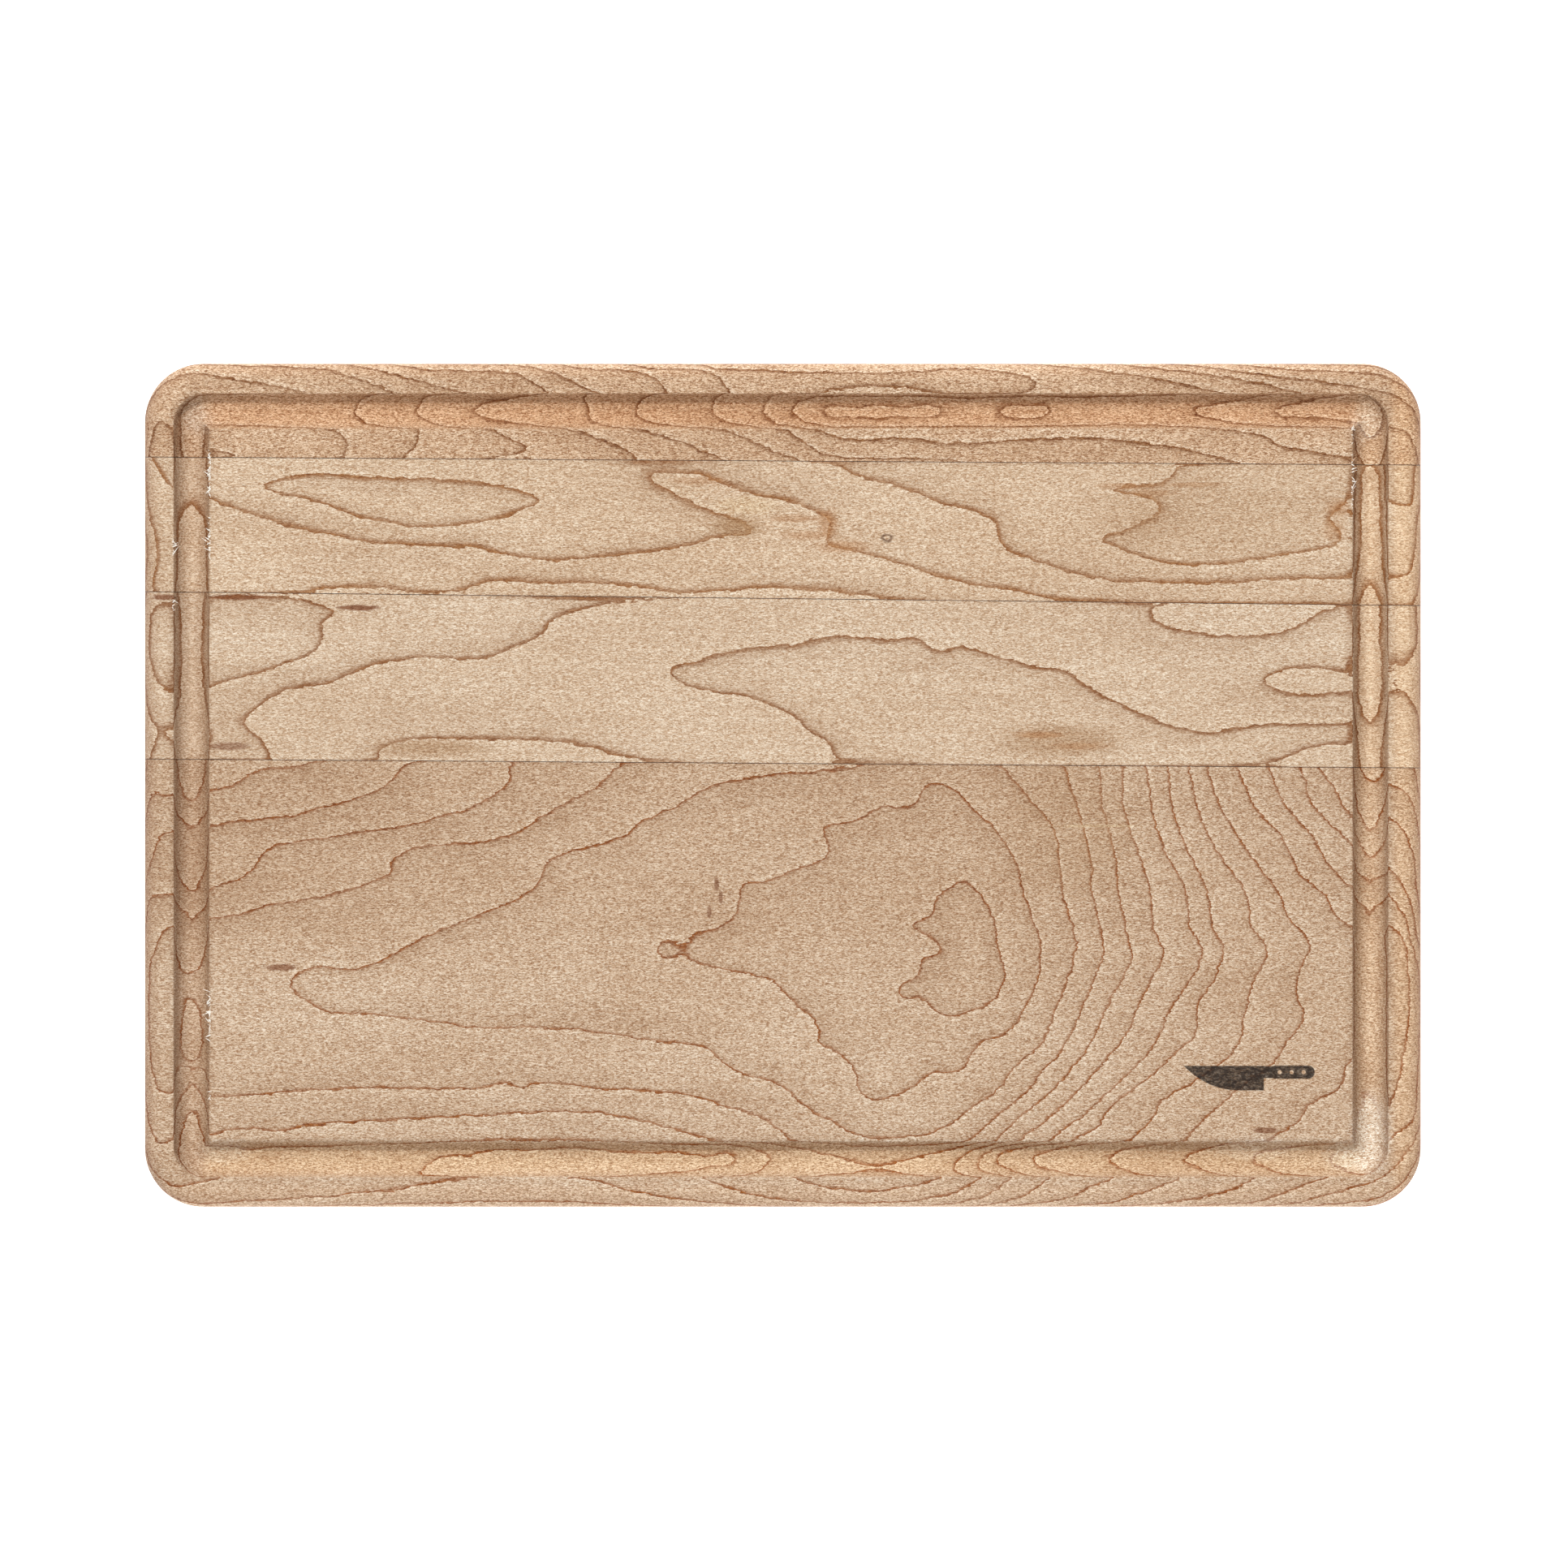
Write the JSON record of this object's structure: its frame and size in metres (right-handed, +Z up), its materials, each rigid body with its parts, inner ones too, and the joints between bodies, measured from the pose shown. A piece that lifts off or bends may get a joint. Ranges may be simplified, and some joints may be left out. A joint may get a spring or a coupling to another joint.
{
  "type": "cutting board",
  "caption": "Rectangular edge-glued hardwood cutting board with rounded corners, a rounded-over rim and a juice groove all round its top face.",
  "frame": {"origin": "middle of the underside, on the surface that the board rests on", "axes": "+X along the grain, the long side; +Y across the grain, towards the far edge; +Z up, out of the grooved top face"},
  "size_m": [0.457, 0.302, 0.019],
  "materials": {
    "maple": "oiled, flat-sawn, satin",
    "glue": "dark glue line, matte"
  },
  "bodies": {
    "root": {"stave_1": "maple", "stave_2": "maple", "stave_3": "maple", "stave_4": "maple", "glue_line_1": "glue", "glue_line_2": "glue", "glue_line_3": "glue"}
  },
  "joints": []
}
